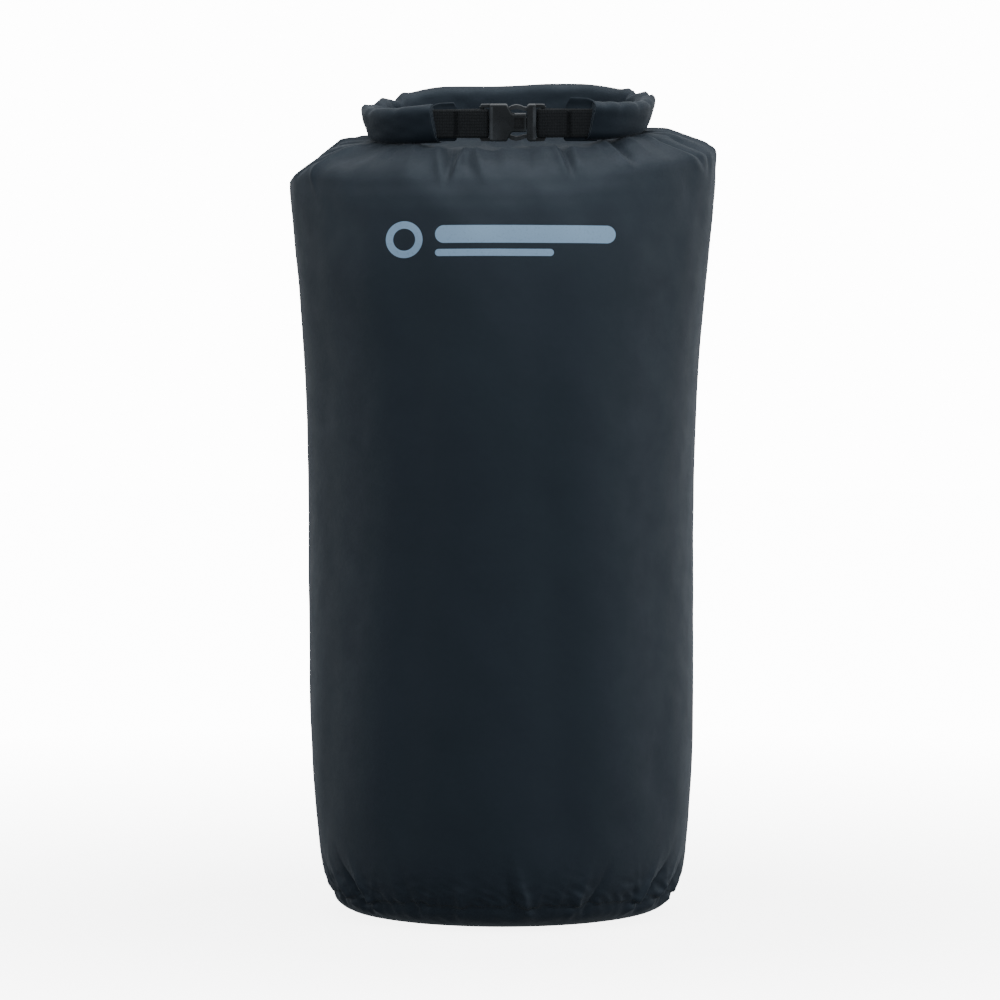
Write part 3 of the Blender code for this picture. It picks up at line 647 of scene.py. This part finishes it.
# Folds in the roll's top edge: degrees round the bend from the rear, change in height, half width in degrees
TOP_FOLDS = {
    -1: [(33, 1.2, 4.0), (43, -3.4, 4.0), (54, 1.6, 4.5), (68, -3.2, 3.6), (88, 1.8, 8.0), (112, -1.2, 4.2),
         (141, -0.7, 4.0)],
    1: [(43, 1.4, 5.0), (57, -3.6, 3.4), (68, 1.6, 4.0), (78, -2.0, 3.0), (92, 2.0, 7.0), (111, -1.3, 3.4),
        (129, -0.9, 3.4), (148, -0.9, 3.4), (162, -0.5, 3.0)],
}
# How far each bend sinks or rises, and how much of the roll's height is left there
BEND_DROP = {-1: -3.4, 1: 0.1}
BEND_SQUEEZE = 0.87
# How far the roll's top leans out past its foot, and the share of its height that stays in place
FLARE_REAR = 8.5
FLARE_BEND = 7.2
FLARE_ARM = 1.2
FLARE_PIVOT = 0.3
FLARE_PIVOT_BEND = 0.28  # added to it in the bends
# The fold where the rear meets each bend: degrees round the bend, half width in degrees, depth
CREASE_ANGLE, CREASE_WIDTH, CREASE_DEPTH = 50, 3.6, 2.2
# The rear's top edge rises round one place, in X, and sags at both ends
ARCH_RISE, ARCH_PLACE, ARCH_WIDTH, ARCH_SAG = 1.2, 42, 34, 0.8
# The open ends of the roll: how long they take to form, how far they slant, and how far the core is drawn in
END_LENGTH, END_SLANT, END_HOLLOW = 14, 5.5, 2.6
ROLL_LEAN = 0.6  # the share of the shoulders' lean that the roll takes
WEB_LEAN = 0.2
BEND_SHIFT = -3.0  # the bends lie this far to the left of the ring's middle
HALVES_MEET = 26.0  # unevenness fades over this length towards the middle of the rear, where the halves meet


def ring_place(place):
    """Centreline point and outward direction at a signed distance round the ring from the rear's middle."""
    side = 1 if place >= 0 else -1
    along = abs(place)
    if along <= HALF_STRAIGHT:
        return np.array([side * along, BEND_RADIUS]), np.array([0.0, 1.0])
    angle = (along - HALF_STRAIGHT) / BEND_RADIUS
    outward = np.array([side * math.sin(angle), math.cos(angle)])
    return np.array([side * HALF_STRAIGHT, 0]) + outward * BEND_RADIUS, outward


def spiral():
    """The middle line of fabric wound flat, as (offset, height), from the core to the inner side's foot."""
    last = ROLL_HALF_THICK - LAYER / 2
    low = ROLL_HALF_THICK
    high = ROLL_HEIGHT - ROLL_HALF_THICK
    line = []
    for k in range(HALF_TURNS):
        radius = last - LAYER_PITCH / 2 * (HALF_TURNS - 1 - k)
        at_top = k % 2 == 0
        centre = np.array([-LAYER_PITCH / 2 if at_top else 0.0, high if at_top else low])
        first = 0 if at_top else math.pi
        for i in range(ARC_STEPS + 1):
            angle = first + math.pi * i / ARC_STEPS
            line.append(centre + radius * np.array([math.cos(angle), math.sin(angle)]))
        begin = line[-1]
        following = radius + LAYER_PITCH / 2
        target = np.array([-following, low]) if at_top else np.array([following - LAYER_PITCH / 2, high])
        if k == HALF_TURNS - 1:
            target = np.array([begin[0], low - 2])
        for i in range(1, RUN_STEPS + (k == HALF_TURNS - 1)):
            line.append(begin + (target - begin) * i / RUN_STEPS)
    return np.array(line)


def roll_shape(side, along, offset, height):
    """The wound section at a place on the ring, with its flare, sag, folds and unevenness."""
    share = np.clip(height / ROLL_HEIGHT, 0, 1)
    angle = max(along - HALF_STRAIGHT, 0) / BEND_RADIUS
    bend = math.sin(min(angle, math.pi)) ** 1.5
    rear = 1 - float(smoothstep(0, 1.2, angle))
    arm = float(smoothstep(1.9, 2.7, angle))
    depth = np.abs(offset) / ROLL_HALF_THICK
    outer = offset > 0
    top = share ** 3
    flare = FLARE_REAR * rear + FLARE_BEND * bend + FLARE_ARM * arm
    offset = offset + flare * (share - (FLARE_PIVOT + FLARE_PIVOT_BEND * bend))
    offset += outer * 0.7 * np.sin(math.pi * share) * (1 - 0.5 * rear)
    height = height * (1 - (1 - BEND_SQUEEZE) * bend) + BEND_DROP[side] * bend
    turned = math.degrees(angle)
    for middle, change, width in TOP_FOLDS[side]:
        dip = math.exp(-(((turned - middle) / width) ** 2))
        height += change * dip * top * (0.7 + 0.5 * outer)
        offset += dip * share ** 2 * change * np.where(outer, 0.45, 0.8)
    crease = math.exp(-(((turned - CREASE_ANGLE) / CREASE_WIDTH) ** 2))
    offset += crease * CREASE_DEPTH * np.where(outer, -0.3, 1.0) * (0.4 + 0.6 * share)
    apart = float(smoothstep(0, HALVES_MEET, along))
    uneven = waves(np.full_like(height, along), height * 2 + 40 * outer, SEED + 13 + side, 8, 12, 50)
    offset += 0.30 * apart * depth * uneven
    height += 0.45 * apart * math.sin(along / 17 + side) * top * (1 - arm)
    return offset, height


def rolled_half(side, label, material):
    """Half of the rolled mouth, from the middle of the rear to one front end."""
    line = spiral()
    tangents = np.gradient(line, axis=0)
    normals = np.stack([tangents[:, 1], -tangents[:, 0]], axis=1)
    normals /= np.linalg.norm(normals, axis=1, keepdims=True)
    outline = np.vstack([line + normals * LAYER / 2, (line - normals * LAYER / 2)[::-1]])
    wound = np.r_[0, np.cumsum(np.linalg.norm(np.diff(outline, axis=0), axis=1))]
    places = np.linspace(0, ARM_LENGTH, ROLL_ROWS)
    share = outline[:, 1] / ROLL_HEIGHT
    core = 1 - np.abs(outline[:, 0]) / ROLL_HALF_THICK
    points = []
    for along in places:
        centre, outward = ring_place(side * along)
        offset, height = roll_shape(side, along, outline[:, 0], outline[:, 1])
        flat = centre[None] + outward[None] * offset[:, None]
        ending = float(smoothstep(ARM_LENGTH - END_LENGTH, ARM_LENGTH, along))
        flat[:, 0] += side * ending * (END_SLANT * (share - 0.5) - END_HOLLOW * core)
        around = max(along - HALF_STRAIGHT, 0) / BEND_RADIUS
        flat[:, 0] += BEND_SHIFT * math.sin(min(around, math.pi)) ** 2
        arch = ARCH_RISE * math.exp(-(((centre[0] - ARCH_PLACE) / ARCH_WIDTH) ** 2))
        arch -= ARCH_SAG * float(smoothstep(52, 84, abs(centre[0])))
        rear = 1 - float(smoothstep(0.5, 1.3, around))
        points.append(np.column_stack([flat, height + arch * rear * share]))
    world = ring_world(np.array(points).reshape(-1, 3))
    world[:, 2] += (world[:, 0] - RING_CENTRE.x) * SIDE_LEAN * ROLL_LEAN
    count = len(outline)
    faces = grid_faces(len(places), count, wrap=True)
    first = (len(places) - 1) * count
    for i in range(len(line) - 1):
        faces.append((first + i, first + i + 1, first + count - 2 - i, first + count - 1 - i))
    if side > 0:
        faces = [f[::-1] for f in faces]
    uv = np.column_stack([np.repeat(places, count), np.tile(wound, len(places))])
    return mesh_object(f"rolled_mouth_{label}", world, faces, material, uv)


NECK_HALF = 60.0
NECK_LOW = -7.0
NECK_HIGH = 4.5
NECK_THICK = 0.6


def neck_fabric(material):
    """The pleated neck that rises from the closed top of the sack into the rear of the roll."""
    columns, rows = 170, 20
    points = []
    for i in range(columns + 1):
        x = -NECK_HALF + 2 * NECK_HALF * i / columns
        pleat = math.sin(x * 0.42 + 1.3 * math.sin(x * 0.11)) + 0.5 * math.sin(x * 0.9)
        for k in range(rows + 1):
            up = k / rows
            depth = BEND_RADIUS - 2.5 - 6 * (1 - up) ** 1.6 + pleat * (0.3 + 0.7 * (1 - up))
            points.append((x * (0.84 + 0.10 * up), depth, NECK_LOW + (NECK_HIGH - NECK_LOW) * up))
    uv = np.array(points)[:, [0, 2]]
    obj = mesh_object("neck_fabric", ring_world(points), grid_faces(columns + 1, rows + 1), material, uv)
    thicken(obj, NECK_THICK)
    return obj


# ---------------------------------------------------------------- webbing

WEB_MIDDLE = ROLL_HEIGHT / 2 - 0.4
FRONT_Y = -BEND_RADIUS - 0.4
LOOP_CENTRE = 19.4  # where the webbing turns, just past the buckle's body
LOOP_INSIDE = 1.9
WEB_THICK = 1.2
WEB_WIDTH = 19.6


def webbing_line(side):
    """The webbing's middle line in the ring's plane: from the hem's end, round the buckle's bar and back."""
    loop = LOOP_INSIDE + WEB_THICK / 2
    line = [(56.0, -1.6), (49.0, -1.6), (37.5, -1.7), (32.0, -2.0), (26.5, -loop)]
    steps = 10
    for i in range(steps + 1):
        angle = -math.pi / 2 + math.pi * i / steps
        line.append((LOOP_CENTRE - loop * math.cos(angle), loop * math.sin(angle)))
    line += [(26.5, loop - 0.3), (32.0, 0.9), (37.5, -0.1), (46.0, 0.0)]
    smooth = catmull_rom(line, 150)
    return np.stack([side * smooth[:, 0], smooth[:, 1] + FRONT_Y], axis=1)


def webbing(side, label, material):
    """A strap with rounded, slightly scalloped edges."""
    line = webbing_line(side)
    tangents = np.gradient(line, axis=0)
    normals = np.stack([-tangents[:, 1], tangents[:, 0]], axis=1)
    normals /= np.linalg.norm(normals, axis=1, keepdims=True)
    along = np.r_[0, np.cumsum(np.linalg.norm(np.diff(line, axis=0), axis=1))]
    section = []
    columns = 26
    for k in range(columns + 1):
        across = -WEB_WIDTH / 2 + WEB_WIDTH * k / columns
        edge = math.sqrt(max(1 - (2 * abs(across) / WEB_WIDTH) ** 10, 0.04))
        section.append((across, edge * WEB_THICK / 2))
    section += [(across, -depth) for across, depth in section[::-1]]
    points = []
    for middle, normal, place in zip(line, normals, along):
        rib = math.cos(2 * math.pi * place / RIB_PITCH)
        for across, depth in section:
            offset = depth * (1 + 0.05 * rib)
            points.append((*(middle + normal * offset), WEB_MIDDLE + across * (1 + 0.006 * rib)))
    world = ring_world(points)
    world[:, 2] += (world[:, 0] - RING_CENTRE.x) * SIDE_LEAN * WEB_LEAN
    count = len(section)
    faces = grid_faces(len(line), count, wrap=True)
    for row in (0, len(line) - 1):
        faces.append(tuple(row * count + i for i in (range(count) if row else range(count - 1, -1, -1))))
    if side < 0:
        faces = [f[::-1] for f in faces]
    across = np.array([a for a, _ in section])
    uv = np.column_stack([np.repeat(along, count), np.tile(across, len(line))])
    return mesh_object(f"{label}_strap", world, faces, material, uv)


STITCH_LENGTH = 2.2
STITCH_GAP = 0.9
SEAM_THREAD = 0.20


def stitches(line):
    """Separate stitches along a line in millimetres."""
    steps = np.r_[0, np.cumsum(np.linalg.norm(np.diff(line, axis=0), axis=1))]
    found = []
    place = STITCH_GAP
    while place + STITCH_LENGTH < steps[-1]:
        at = place + STITCH_LENGTH * np.arange(4) / 3
        found.append(np.stack([np.interp(at, steps, line[:, axis]) for axis in range(3)], axis=1))
        place += STITCH_LENGTH + STITCH_GAP
    return found


TACK_MIDDLE = 38.8
TACK_HALF = 1.5
TACK_ROWS = 17
TACK_THREAD = 0.28
THREAD_PROUD = 0.12


def zigzag(name, side, material):
    """Dense zigzag of thread across the webbing's front."""
    front = FRONT_Y - 1.7 - WEB_THICK / 2 - THREAD_PROUD
    reach = WEB_WIDTH / 2 - 1.1
    points = []
    for i in range(2 * TACK_ROWS + 1):
        height = WEB_MIDDLE - reach + reach * i / TACK_ROWS
        points.append((side * (TACK_MIDDLE + (TACK_HALF if i % 2 else -TACK_HALF)), front, height))
    return thread_piece(name, [ring_world(points)], TACK_THREAD, 2, material)


# The hem's end on each side: inner edge, top, how far its top corner is cut, in the ring's axes
HEM_ENDS = {-1: (38.4, 27.6, 4.0), 1: (35.0, 31.4, 8.5)}
HEM_OUTER = ARM_END + 3.5
HEM_LOW = 1.0
HEM_THICK = 1.0


def hem_end(side, label, material):
    """The hem's end that the webbing is sewn to: a doubled flap that shows past the webbing."""
    inner, top, corner = HEM_ENDS[side]
    columns, heights = 40, 34
    cut = [inner, inner + corner * 0.55, HEM_OUTER - 7, HEM_OUTER]
    tops = [top - corner, top, top - 0.6, top - 3.4]
    points = []
    for i in range(columns + 1):
        x = inner + (HEM_OUTER - inner) * i / columns
        high = np.interp(x, cut, tops)
        low = np.interp(x, [inner, inner + 1.5], [HEM_LOW + 1.5, HEM_LOW])
        for k in range(heights + 1):
            share = k / heights
            height = low + (high - low) * share
            bow = 0.45 * math.sin(x * 0.42) * share ** 2 + 0.22 * math.sin(height * 0.8)
            lip = 0.25 * math.exp(-(((x - inner) / 1.6) ** 2))
            lip += 0.25 * math.exp(-(((high - height) / 1.8) ** 2))
            points.append((side * x, FRONT_Y + 0.9 + bow + 0.9 * share ** 2 - lip, height))
    faces = grid_faces(columns + 1, heights + 1)
    if side < 0:
        faces = [f[::-1] for f in faces]
    uv = np.array(points)[:, [0, 2]]
    obj = mesh_object(f"{label}_hem_end", ring_world(points), faces, material, uv)
    thicken(obj, HEM_THICK)
    return obj


# ------------------------------------------------------ light and camera

BACKDROP_STRENGTH = 14.0
FRONT_GLOW = 0.73
REAR_GLOW = 0.58
# How the glow changes from below the object to above it, and from its left to its right
GLOW_UPWARD = (0.28, 1.0)
GLOW_ACROSS = (0.82, 1.28)
GLOW_COLOUR = (0.93, 0.965, 1.0, 1)
SACK_MIDDLE = (0, 0, 0.3)


def studio():
    """White surroundings that light the object a little more from the front than from behind, with a soft
    overhead light and a softbox each side.
    """
    world = bpy.data.worlds.new("studio")
    bpy.context.scene.world = world
    nodes = Nodes(world)
    backdrop = nodes.tree.nodes["Background"]
    backdrop.inputs["Color"].default_value = (1, 1, 1, 1)
    backdrop.inputs["Strength"].default_value = BACKDROP_STRENGTH
    glow = nodes.node("ShaderNodeBackground")
    glow.inputs["Color"].default_value = GLOW_COLOUR
    x, y, z = nodes.split(nodes.coordinate("Generated"))
    back = nodes.ramp(y, -0.5, 0.75, FRONT_GLOW, REAR_GLOW, "SMOOTHSTEP")
    above = nodes.ramp(z, -0.3, 0.15, *GLOW_UPWARD, "SMOOTHSTEP")
    across = nodes.ramp(x, -1.0, 1.0, *GLOW_ACROSS, "SMOOTHSTEP")
    strength = nodes.math("MULTIPLY", nodes.math("MULTIPLY", back, above), across)
    nodes.link(strength, glow.inputs["Strength"])
    mixed = nodes.node("ShaderNodeMixShader")
    nodes.link(nodes.node("ShaderNodeLightPath").outputs["Is Camera Ray"], mixed.inputs[0])
    nodes.link(glow.outputs[0], mixed.inputs[1])
    nodes.link(backdrop.outputs[0], mixed.inputs[2])
    nodes.link(mixed.outputs[0], nodes.tree.nodes["World Output"].inputs["Surface"])

    lamp("overhead", "SUN", (0.25, -0.35, 2), (0, 0, 0), 1.6, angle=math.radians(60))
    tall = {"shape": "RECTANGLE", "size": 0.22, "size_y": 1.5}
    lamp("left_strip", "AREA", (-1.3, 0.05, 0.45), SACK_MIDDLE, 1.1, **tall)
    lamp("right_strip", "AREA", (1.3, 0.0, 0.45), SACK_MIDDLE, 1.9, **tall)


def lamp(name, kind, place, aim, power, **settings):
    light = bpy.data.lights.new(name, kind)
    light.energy = power
    for key, value in settings.items():
        setattr(light, key, value)
    obj = add(name, light)
    obj.location = place
    obj.rotation_euler = (Vector(aim) - Vector(place)).to_track_quat("-Z", "Y").to_euler()


FLOOR_GLOW = (5.5, 12.6)  # the floor's own light by the object, and where it meets the white surroundings
FLOOR_FADE = (0.25, 1.6)
FLOOR_HALF = 12.0
FLOOR_DROP = -0.0002


def floor():
    """A pale floor that fades into the white surroundings and throws no light of its own on the object."""
    nodes = Nodes(bpy.data.materials.new("pale_floor"))
    grain = nodes.noise(nodes.coordinate("Object"), 6, 2)
    tone = nodes.mix(grain, (0.93, 0.93, 0.94), (0.97, 0.97, 0.97))
    nodes.link(tone, nodes.shader.inputs["Base Color"])
    away = nodes.node("ShaderNodeVectorMath", operation="LENGTH")
    nodes.link(nodes.coordinate("Object"), away.inputs[0])
    glow = nodes.ramp(away.outputs["Value"], *FLOOR_FADE, *FLOOR_GLOW)
    nodes.link(glow, nodes.shader.inputs["Emission Strength"])
    nodes.principled(Roughness=0.9, Emission_Color=(1, 1, 1, 1))
    mesh = bpy.data.meshes.new("floor")
    corners = [(x * FLOOR_HALF, y * FLOOR_HALF, 0) for x, y in ((-1, -1), (1, -1), (1, 1), (-1, 1))]
    mesh.from_pydata(corners, [], [(0, 1, 2, 3)])
    mesh.materials.append(nodes.owner)
    obj = add("floor", mesh)
    obj.location.z = FLOOR_DROP
    obj.visible_diffuse = False
    obj.visible_glossy = False


CAMERA_LENS = 154.08
CAMERA_PLACE = (-0.00175, -3.0, 0.368)
CAMERA_DOWN = 1.512  # degrees below level


def camera():
    data = bpy.data.cameras.new("camera")
    data.lens = CAMERA_LENS
    data.sensor_width = 36
    obj = add("camera", data)
    obj.location = CAMERA_PLACE
    obj.rotation_euler = (math.radians(90 - CAMERA_DOWN), 0, 0)
    bpy.context.scene.camera = obj


# --------------------------------------------------------------- assembly

NYLON = (0.0160, 0.0225, 0.0310)
NYLON_DEEP = (0.0138, 0.0194, 0.0268)
LINING = (0.060, 0.068, 0.076)
LINING_DEEP = (0.050, 0.057, 0.064)
WEBBING = (0.0145, 0.0180, 0.0215)
# painted shade in the webbing's grooves
WEBBING_GROOVE_SHADE = (0.0050, 0.0060, 0.0075)
THREAD = (0.020, 0.024, 0.028)
PLASTIC = (0.0125, 0.0155, 0.0180)
# painted highlight on the buckle's sharp edges
PLASTIC_EDGE_HIGHLIGHT = (0.085, 0.095, 0.105)


def assign(node, material):
    """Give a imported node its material."""
    mesh = frame["nodes"][node].data
    mesh.materials.clear()
    mesh.materials.append(material)


def main():
    camera()
    studio()
    floor()
    fabric = coated_nylon("coated_nylon_printed", NYLON, NYLON_DEEP, printed_mark)
    plain = coated_nylon("coated_nylon", NYLON, NYLON_DEEP)
    lining = coated_nylon("seam_tape_film", LINING, LINING_DEEP, roughness=0.35)
    tape = woven_tape("webbing_weave", WEBBING, WEBBING_GROOVE_SHADE)
    sewing = thread("sewing_thread", THREAD)
    plastic = moulded_plastic("moulded_acetal", PLASTIC, PLASTIC_EDGE_HIGHLIGHT)

    body, grid, normals = sack_fabric(fabric)
    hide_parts("sack_body")
    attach(body, "sack")

    base = base_cover(plain, grid[0])
    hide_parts("base_panel")
    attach(base, "sack")

    neck = neck_fabric(plain)
    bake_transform(neck)

    stitched = grid + normals * THREAD_PROUD
    around = [np.vstack([stitched[BASE_STITCH_ROW], stitched[BASE_STITCH_ROW][:1]])]
    top = int(SACK_UP * 0.8)
    upright = [stitched[4:top, column] for column in (SEAM_COLUMNS, -SEAM_COLUMNS)]
    for name, lines in (("base_seam_stitches", around), ("rear_seam_stitches", upright)):
        row = thread_piece(name, [one for line in lines for one in stitches(line)], SEAM_THREAD, 1, sewing)
        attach(row, "sack")

    for side, label in ((-1, "left"), (1, "right")):
        roll = rolled_half(side, label, plain)
        nodes = [f"roll_{label}", f"stiffener_{label}"]
        if side > 0:
            nodes += ["roll_rear", "stiffener_rear"]
        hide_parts(*nodes)
        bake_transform(roll)

        strap = webbing(side, label, tape)
        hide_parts(f"{label}_webbing")
        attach(strap, f"{label}_arm")
        flap = hem_end(side, label, plain)
        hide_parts(f"{label}_hem_tab")
        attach(flap, f"{label}_arm")
        tack = zigzag(f"{label}_zigzag", side, sewing)
        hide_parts(f"{label}_bartack")
        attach(tack, f"{label}_arm")

    for node in ("buckle_socket", "buckle_plug", "buckle_upper_prong", "buckle_lower_prong"):
        assign(node, plastic)
    for node in ("base_seam_tape", "side_seam_tape"):
        assign(node, lining)


main()
